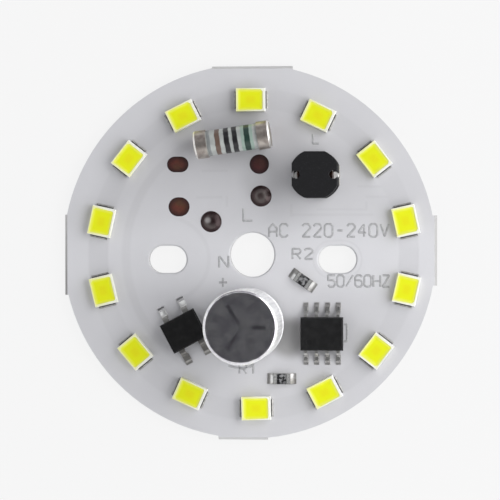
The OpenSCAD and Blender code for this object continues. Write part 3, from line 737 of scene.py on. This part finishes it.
canFinish = {
    "bright": rgb(0.97, 0.97, 0.975),
    "dull": rgb(0.86, 0.85, 0.89),
    "stain": rgb(0.63, 0.61, 0.67),
    "stainShare": 0.8,
    # painted shade along the pressed arms in the lid
    "vent": rgb(0.4, 0.395, 0.43),
    "wall": rgb(0.96, 0.96, 0.965),
    "groove": rgb(0.78, 0.78, 0.79),
    "middle": (-0.5, -8.15, 0),
    "top": (11.0, 11.15),
    "armFold": 60,  # half the angle between two arms of the vent
    "armSide": (0.38, 0.08),
    "armEnd": (3.1, 2.8),
    # pressed, not cut: its painted shade shows unevenly, and least in the middle
    "pressed": (1.4, 0.35, 0.65),
    "pressedShare": (0.55, 1.0),
    "hub": (0.4, 1.8),
    "hubShare": (0.35, 1.0),
    "cloud": (1.3, 0.3, 0.72),
    "stainPatch": (0.9, 0.35, 0.7),
    "drawn": (5.0, 5.0, 0.12),  # lines drawn down the wall
    "drawnTone": (0.42, 0.62),
    "scuffs": (0.8, 1.6, 1.6),
    "scuffTone": (0.45, 0.7),
    "scuffRough": 0.012,
    # wall and lid; the wall is bare aluminium under a pale oxide bloom
    "metal": (0.4, 1.0),
    "roughness": (0.34, 0.25),
    "relief": (0.008, 0.0002),
}


def makeCanLook(p):
    look, tree, shader, spot = startLook("drawnCan")
    lid = rise(tree, axes(tree, spot)["Z"], *p["top"])
    drawn = streakLines(tree, spot, p["drawn"])
    scuffs = streakLines(tree, spot, p["scuffs"])
    # the lid's three pressed arms, folded onto one, with painted shade along them
    flat = flatten(tree, measureFrom(tree, spot, Location=p["middle"]))
    away = length(tree, flat)
    xyz = axes(tree, flat)
    halfTurn = math.radians(p["armFold"])
    fold = reckon(tree, "WRAP", reckon(tree, "ARCTAN2", xyz["Y"], xyz["X"]), halfTurn, -halfTurn)
    sideways = reckon(tree, "ABSOLUTE", times(tree, away, reckon(tree, "SINE", fold)))
    vent = times(tree, rise(tree, sideways, *p["armSide"]), rise(tree, away, *p["armEnd"]))
    faint = times(tree, span(tree, patchMask(tree, spot, *p["pressed"]), *p["pressedShare"]),
                  span(tree, rise(tree, away, *p["hub"]), *p["hubShare"]))
    vent = gather(tree, "MULTIPLY", [vent, lid, faint])
    stain = times(tree, patchMask(tree, spot, *p["stainPatch"]), lid)
    color = tint(tree, times(tree, patchMask(tree, spot, *p["cloud"]), lid), p["bright"], p["dull"])
    color = tint(tree, times(tree, stain, p["stainShare"]), color, p["stain"])
    color = tint(tree, vent, color, p["vent"])
    wall = tint(tree, rise(tree, drawn, *p["drawnTone"]), p["wall"], p["groove"])
    color = tint(tree, lid, wall, color)
    rubs = times(tree, rise(tree, scuffs, *p["scuffTone"]), lid)
    roughness = reckon(tree, "MULTIPLY_ADD", rubs, p["scuffRough"], span(tree, lid, *p["roughness"]))
    setShader(tree, shader, Base_Color=color, Metallic=span(tree, lid, *p["metal"]), Roughness=roughness)
    relief = blend(tree, lid, drawn, scuffs)
    raiseSurface(tree, shader, times(tree, relief, span(tree, lid, *p["relief"])))
    return look


ferriteFinish = {
    "name": "sinteredFerrite",
    "tones": (rgb(0.0115, 0.0115, 0.013), rgb(0.024, 0.024, 0.026)),
    "edge": rgb(0.07, 0.07, 0.075),
    "cloud": (0.16, 0.58, 0.72),
    "grain": (0.1, 0.2, 0.8),
    "chips": (0.5, 0.42, 0.62),
    "rub": 0.09,
    "roughness": (0.4, 0.54),
    "specular": 0.3,
    "relief": 0.006,
}
mouldingFinish = {
    "name": "chipMoulding",
    "tones": (rgb(0.007, 0.007, 0.0075), rgb(0.014, 0.014, 0.0145)),
    "edge": rgb(0.035, 0.035, 0.036),
    "edgeShare": 0.6,
    "cloud": (0.9, 0.35, 0.75),
    "grain": (0.055, 0.2, 0.8),
    "rub": 0.05,
    "roughness": (0.5, 0.68),
    "specular": 0.22,
    "relief": 0.005,
}


def makeBlackLook(p):  # grained black bodies, paler where their edges are rubbed or chipped
    look, tree, shader, spot = startLook(p["name"])
    grain = patchMask(tree, spot, *p["grain"])
    rub = rubbed(tree, p["rub"])
    share = patchMask(tree, spot, *p["chips"]) if "chips" in p else p["edgeShare"]
    color = tint(tree, patchMask(tree, spot, *p["cloud"]), *p["tones"])
    color = tint(tree, times(tree, rub["Edge"], share), color, p["edge"])
    setShader(tree, shader, Base_Color=color, Roughness=span(tree, grain, *p["roughness"]),
              Specular_IOR_Level=p["specular"])
    raiseSurface(tree, shader, times(tree, grain, p["relief"]), rub["Normal"])
    return look


glazeFinish = {
    "face": rgb(0.02, 0.02, 0.021),
    "pale": rgb(0.27, 0.27, 0.275),
    "worn": (0.28, 0.42, 0.6),
    "rub": 0.2,
    "roughness": (0.3, 0.45),
    "specular": 0.2,
    "relief": 0.006,
}


def makeGlazeLook(p):
    look, tree, shader, spot = startLook("blackGlaze")
    rub = rubbed(tree, p["rub"])
    worn = times(tree, patchMask(tree, spot, *p["worn"]), reckon(tree, "SUBTRACT", 1.0, rub["Edge"]))
    setShader(tree, shader, Base_Color=tint(tree, worn, p["face"], p["pale"]),
              Roughness=span(tree, worn, *p["roughness"]), Specular_IOR_Level=p["specular"])
    raiseSurface(tree, shader, times(tree, worn, p["relief"]), rub["Normal"])
    return look


resistorFinish = {
    "coat": rgb(0.36, 0.375, 0.365),
    "pale": rgb(0.46, 0.485, 0.465),
    "middle": (-2.15, 13.45, 2.71),
    "turn": math.radians(8.4),
    # the first band is painted shade on the coating beside the left cap
    # place along the body, half width, colour
    "bands": [(-2.72, 0.2, rgb(0.22, 0.235, 0.235)), (-1.65, 0.3, rgb(0.135, 0.088, 0.068)),
              (-0.58, 0.31, rgb(0.014, 0.013, 0.015)), (0.4, 0.31, rgb(0.014, 0.013, 0.015)),
              (1.81, 0.72, rgb(0.29, 0.38, 0.33)), (1.81, 0.33, rgb(0.016, 0.042, 0.032))],
    "bandSoft": (0.04, -0.06),
    "cloud": (1.1, 0.35, 0.7),
    "wobble": (0.9, 0.2, 0.8),
    "wobbleReach": 0.1,
    "roughness": (0.3, 0.4),
    "specular": 0.35,
    "gloss": 0.45,
    "glossRough": 0.12,
    "relief": 0.02,
}


def resistorAxis(tree, spot, p):
    return measureFrom(tree, spot, Location=p["middle"], Rotation=(0, 0, p["turn"]))


def makeResistorLook(p):
    look, tree, shader, spot = startLook("bandedCoating")
    axis = resistorAxis(tree, spot, p)
    wobble = patchMask(tree, axis, *p["wobble"])
    sway = times(tree, reckon(tree, "SUBTRACT", wobble, 0.5), p["wobbleReach"])
    lengthwise = reckon(tree, "ADD", axes(tree, axis)["X"], sway)
    color = tint(tree, patchMask(tree, axis, *p["cloud"]), p["coat"], p["pale"])
    outer, inner = p["bandSoft"]
    paints = []
    for middle, half, bandColor in p["bands"]:
        paint = rise(tree, apart(tree, lengthwise, middle), half + outer, half + inner)
        color = tint(tree, paint, color, bandColor)
        paints.append(paint)
    painted = gather(tree, "MAXIMUM", paints)
    setShader(tree, shader, Base_Color=color, Roughness=span(tree, painted, *p["roughness"]),
              Specular_IOR_Level=p["specular"], Coat_Weight=p["gloss"], Coat_Roughness=p["glossRough"])
    raiseSurface(tree, shader, reckon(tree, "ADD", times(tree, painted, p["relief"]),
                                      times(tree, wobble, p["relief"])))
    return look


capFinish = {
    "bright": rgb(0.54, 0.495, 0.455),
    "dull": rgb(0.35, 0.305, 0.28),
    "rim": rgb(0.97, 0.955, 0.93),  # the rounded ends are rubbed bright
    "rimPlace": ((4.2, 4.29), (4.49, 4.47)),  # along the body from its middle
    "cloud": (0.7, 0.35, 0.7),
    "lines": (6.0, 1.0, 1.0),
    "metal": 1.0,
    "roughness": (0.42, 0.52),
    "relief": 0.008,
}


def makeCapLook(p, body):
    look, tree, shader, spot = startLook("pressedCap")
    cloud = patchMask(tree, spot, *p["cloud"])
    lengthwise = reckon(tree, "ABSOLUTE", axes(tree, resistorAxis(tree, spot, body))["X"])
    color = tint(tree, cloud, p["bright"], p["dull"])
    color = tint(tree, band(tree, lengthwise, *p["rimPlace"]), color, p["rim"])
    setShader(tree, shader, Base_Color=color, Metallic=p["metal"],
              Roughness=span(tree, cloud, *p["roughness"]))
    raiseSurface(tree, shader, times(tree, streakLines(tree, spot, p["lines"]), p["relief"]))
    return look


looks = {
    "board": makeBoardLook(boardFinish),
    "copper": makeCopperLook(copperFinish),
    "wire_solder": makeDomeLook(domeFinish),
    "led_housing": makeHousingLook(housingFinish),
    "led_phosphor": makePhosphorLook(phosphorFinish),
    "tinned_lead": makePlainLook(tinFinish),
    "solder": makeSolderLook(solderFinish),
    "capacitor_can": makeCanLook(canFinish),
    "rubber_bung": makePlainLook(rubberFinish),
    "ferrite": makeBlackLook(ferriteFinish),
    "winding": makePlainLook(windingFinish),
    "chip_moulding": makeBlackLook(mouldingFinish),
    "resistor_coating": makeResistorLook(resistorFinish),
    "resistor_cap": makeCapLook(capFinish, resistorFinish),
    "resistor_ceramic": makePlainLook(ceramicFinish),
    "resistor_overcoat": makeGlazeLook(glazeFinish),
}
nodeLooks = {  # nodes whose finish differs from the rest of their slot
    "led_terminals": makePlainLook(tabFinish),
    "led_solder": makePlainLook(jointFinish),
    "chip_resistor_1_terminals": makePlainLook(endFinish),
    "bridge_leads": makeLeadLook(leadFinish),
    "inductor_terminals": makePlainLook(postFinish),
}
nodeLooks["chip_resistor_2_terminals"] = nodeLooks["chip_resistor_1_terminals"]
for name, node in nodes.items():
    holder = node.material_slots[0]
    holder.material = nodeLooks.get(name) or looks[holder.material.name]
print("finishes: on", len(nodes), "packed nodes")


# legend printed on the mask, in single strokes as a plotter draws it

gridWide = 4
gridHigh = 6
glyphs = {  # strokes on that grid
    "0": [[(1, 0), (0, 1), (0, 5), (1, 6), (3, 6), (4, 5), (4, 1), (3, 0), (1, 0)]],
    "1": [[(1, 5), (2, 6), (2, 0)]],
    "2": [[(0, 5), (1, 6), (3, 6), (4, 5), (4, 4), (0, 0), (4, 0)]],
    "4": [[(3, 0), (3, 6), (0, 2), (4, 2)]],
    "5": [[(4, 6), (0, 6), (0, 3.4), (3, 3.4), (4, 2.4), (4, 1), (3, 0), (1, 0), (0, 1)]],
    "6": [[(4, 5), (3, 6), (1, 6), (0, 5), (0, 1), (1, 0), (3, 0), (4, 1), (4, 2.4), (3, 3.4), (0, 3.4)]],
    "A": [[(0, 0), (0, 4), (2, 6), (4, 4), (4, 0)], [(0, 2.4), (4, 2.4)]],
    "C": [[(4, 5), (3, 6), (1, 6), (0, 5), (0, 1), (1, 0), (3, 0), (4, 1)]],
    "H": [[(0, 0), (0, 6)], [(4, 0), (4, 6)], [(0, 3), (4, 3)]],
    "L": [[(0, 6), (0, 0), (3.6, 0)]],
    "N": [[(0, 0), (0, 6), (4, 0), (4, 6)]],
    "R": [[(0, 0), (0, 6), (3, 6), (4, 5), (4, 4), (3, 3), (0, 3)], [(2, 3), (4, 0)]],
    "V": [[(0, 6), (2, 0), (4, 6)]],
    "Z": [[(0, 6), (4, 6), (0, 0), (4, 0)]],
    "+": [[(0.4, 3), (3.6, 3)], [(2, 1.4), (2, 4.6)]],
    "-": [[(0.6, 3), (3.4, 3)]],
    "/": [[(0, 0), (4, 6)]],
    " ": [],
}
legend = {
    "stroke": 0.25,
    "lift": 0.004,  # how far the ink stands up from its own middle
    "clear": 0.001,  # its middle above the mask
    # a pen rounds each corner it turns: radius, most of a leg it takes, degrees a step
    "corner": 0.09,
    "legShare": 0.4,
    "cornerStep": 15,
    # words, left, bottom, letter width, letter height, pitch (mm)
    "words": [("L", 7.15, 13.05, 0.8, 1.1, 1.3), ("L", -1.05, 4.0, 1.2, 1.45, 1.3),
              ("N", -3.9, -1.52, 1.1, 1.4, 1.3), ("+", -4.05, -4.25, 1.2, 2.0, 1.3),
              ("R1", -1.5, -14.0, 0.85, 1.15, 1.2), ("R2", 4.77, -0.5, 0.95, 1.2, 1.4),
              ("AC 220-240V", 2.0, 2.1, 0.92, 1.5, 1.31), ("50/60HZ", 8.95, -3.75, 0.8, 1.35, 1.06)],
    "ring": {"middle": (-1.35, -9.02), "radius": 4.3, "sweep": (250, 291, 5)},
    "lines": [[(10.8, -8.15), (11.15, -8.15), (11.15, -10.15), (10.8, -10.15)]],
}


def penPath(stroke, p):
    path = [Vector(stroke[0])]
    for before, corner, after in zip(stroke, stroke[1:], stroke[2:]):
        corner = Vector(corner)
        back = Vector(before) - corner
        ahead = Vector(after) - corner
        turn = math.pi - back.angle(ahead)
        reach = min(p["corner"] * math.tan(turn / 2), p["legShare"] * min(back.length, ahead.length))
        first = corner + back.normalized() * reach
        last = corner + ahead.normalized() * reach
        steps = 2 + round(math.degrees(turn) / p["cornerStep"])
        for step in range(steps + 1):
            share = step / steps
            path.append(first.lerp(corner, share).lerp(corner.lerp(last, share), share))
    path.append(Vector(stroke[-1]))
    return path


def makeLegend(p):
    strokes = []
    for words, left, bottom, width, height, pitch in p["words"]:
        for index, letter in enumerate(words):
            start = left + index * pitch
            for glyph in glyphs[letter]:
                stroke = [(start + x * width / gridWide, bottom + y * height / gridHigh) for x, y in glyph]
                strokes.append(stroke)
    ringX, ringY = p["ring"]["middle"]
    turns = [math.radians(angle) for angle in range(*p["ring"]["sweep"])]
    reach = p["ring"]["radius"]
    strokes.append([(ringX + reach * math.cos(turn), ringY + reach * math.sin(turn)) for turn in turns])
    strokes.extend(p["lines"])
    curve = bpy.data.curves.new("legend_print", "CURVE")
    curve.dimensions = "3D"
    curve.bevel_depth = p["stroke"] / 2 * mm
    curve.bevel_resolution = 1
    curve.use_fill_caps = True
    for stroke in strokes:
        path = penPath(stroke, p)
        spline = curve.splines.new("POLY")
        spline.points.add(len(path) - 1)
        for point, (x, y) in zip(spline.points, path):
            point.co = (x * mm, y * mm, 0, 1)
    ink = bpy.data.objects.new("legend_print", curve)
    bpy.context.scene.collection.objects.link(ink)
    bpy.ops.object.select_all(action="DESELECT")
    ink.select_set(True)
    bpy.context.view_layer.objects.active = ink
    bpy.ops.object.convert(target="MESH")
    ink.scale = (1, 1, p["lift"] / (p["stroke"] / 2))
    ink.location.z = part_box("board")[1].z + p["clear"] * mm
    bpy.ops.object.transform_apply(location=True, rotation=True, scale=True)
    ink.data.materials.clear()
    ink.data.materials.append(makePlainLook(inkFinish))
    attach(ink, "root")


makeLegend(legend)
print("legend: printed")


# floor, light and camera

def emptyTree(owner):
    owner.use_nodes = True
    owner.node_tree.nodes.clear()
    return owner.node_tree


def mixShaders(tree, share, first, second):
    return put(tree, "MixShader", {0: share, 1: first.outputs[0], 2: second.outputs[0]})


def seenRays(tree):  # rays from the lens, straight or by way of something shiny or clear
    ray = put(tree, "LightPath").outputs
    bounced = reckon(tree, "MAXIMUM", ray["Is Glossy Ray"], ray["Is Transmission Ray"])
    return reckon(tree, "MAXIMUM", ray["Is Camera Ray"], bounced)


def addPlane(name, look, size, place, lean=0):
    bpy.ops.object.select_all(action="DESELECT")
    bpy.ops.mesh.primitive_plane_add(size=size, location=place, rotation=(math.radians(lean), 0, 0))
    plane = bpy.context.object
    plane.name = name
    plane.data.materials.append(look)
    return plane


studio = {
    "floorColor": rgb(0.9, 0.9, 0.9),
    "floorSize": 4,
    "floorPlace": (0, 0, -0.00002),
    "floorShare": 0.93,
    "ground": rgb(0.93, 0.93, 0.93),  # what the lens sees of the floor
    "sky": rgb(0.97, 0.98, 1.0),
    "fill": 1.2,
}


def makeFloor(p):
    look = bpy.data.materials.new("paleFloor")
    tree = emptyTree(look)
    matt = put(tree, "BsdfDiffuse", {"Color": p["floorColor"]})
    lit = put(tree, "Emission", {"Color": p["ground"], "Strength": 1.0})
    top = mixShaders(tree, times(tree, seenRays(tree), p["floorShare"]), matt, lit)
    below = put(tree, "NewGeometry").outputs["Backfacing"]  # from below the floor isn't there
    both = mixShaders(tree, below, top, put(tree, "BsdfTransparent"))
    put(tree, "OutputMaterial", {"Surface": both.outputs[0]})
    floor = addPlane("floor", look, p["floorSize"], p["floorPlace"])


def makeWorld(p):
    world = bpy.data.worlds.new("studio")
    bpy.context.scene.world = world
    tree = emptyTree(world)
    soft = put(tree, "Background", {"Color": p["sky"], "Strength": p["fill"]})
    white = put(tree, "Background", {"Color": p["ground"], "Strength": 1.0})
    both = mixShaders(tree, seenRays(tree), soft, white)
    put(tree, "OutputWorld", {"Surface": both.outputs[0]})


keyLamp = {"power": 0.41, "turn": 11, "lift": 34, "reach": 0.2, "width": 0.38, "height": 0.14}


def makeLamp(p):
    light = bpy.data.lights.new("key", "AREA")
    light.shape = "RECTANGLE"
    light.size = p["width"]
    light.size_y = p["height"]
    light.energy = p["power"]
    lamp = bpy.data.objects.new("key", light)
    bpy.context.scene.collection.objects.link(lamp)
    turn = Matrix.Rotation(math.radians(p["turn"]), 3, "Z")
    lift = Matrix.Rotation(math.radians(-p["lift"]), 3, "Y")
    place = turn @ lift @ Vector((p["reach"], 0, 0))
    lamp.location = place
    lamp.rotation_euler = (-place).to_track_quat("-Z", "Y").to_euler()


cards = {  # dark cards that bare metal mirrors
    "overheadCard": {"place": (-0.046, -0.021, 0.5), "lean": 0, "size": (0.7, 0.7, 1),
                     "shade": rgb(0.075, 0.07425, 0.07725)},
    "backCard": {"place": (0, 0.3, 0.18), "lean": 90, "size": (0.7, 0.3, 1),
                 "shade": rgb(0.3, 0.297, 0.309)},
}


def makeCard(name, p):
    look = bpy.data.materials.new(name)
    tree = emptyTree(look)
    cloth = put(tree, "BsdfDiffuse", {"Color": p["shade"]})
    seen = put(tree, "LightPath").outputs["Is Camera Ray"]  # the lens looks past it
    both = mixShaders(tree, seen, cloth, put(tree, "BsdfTransparent"))
    put(tree, "OutputMaterial", {"Surface": both.outputs[0]})
    card = addPlane(name, look, 1, p["place"], p["lean"])
    card.scale = p["size"]


cameraPlan = {
    "place": (22.77, 2.37, 260.51),
    "lean": 5.07,
    "nod": -0.4,
    "lens": 159.5,
    "sensor": 36.0,
    "clip": (0.005, 20.0),
}


def makeCamera(p):
    camera = bpy.data.objects.new("camera", bpy.data.cameras.new("camera"))
    bpy.context.scene.collection.objects.link(camera)
    camera.data.sensor_width = p["sensor"]
    camera.data.lens = p["lens"]
    camera.data.clip_start, camera.data.clip_end = p["clip"]
    nod = Matrix.Rotation(math.radians(p["nod"]), 4, "X")
    lean = Matrix.Rotation(math.radians(p["lean"]), 4, "Y")
    camera.matrix_world = Matrix.Translation(Vector(p["place"]) * mm) @ (nod @ lean)
    bpy.context.scene.camera = camera


makeFloor(studio)
makeWorld(studio)
makeLamp(keyLamp)
for name, card in cards.items():
    makeCard(name, card)
makeCamera(cameraPlan)
bpy.context.scene.view_settings.view_transform = "Standard"
print("studio: floor, light and camera set")
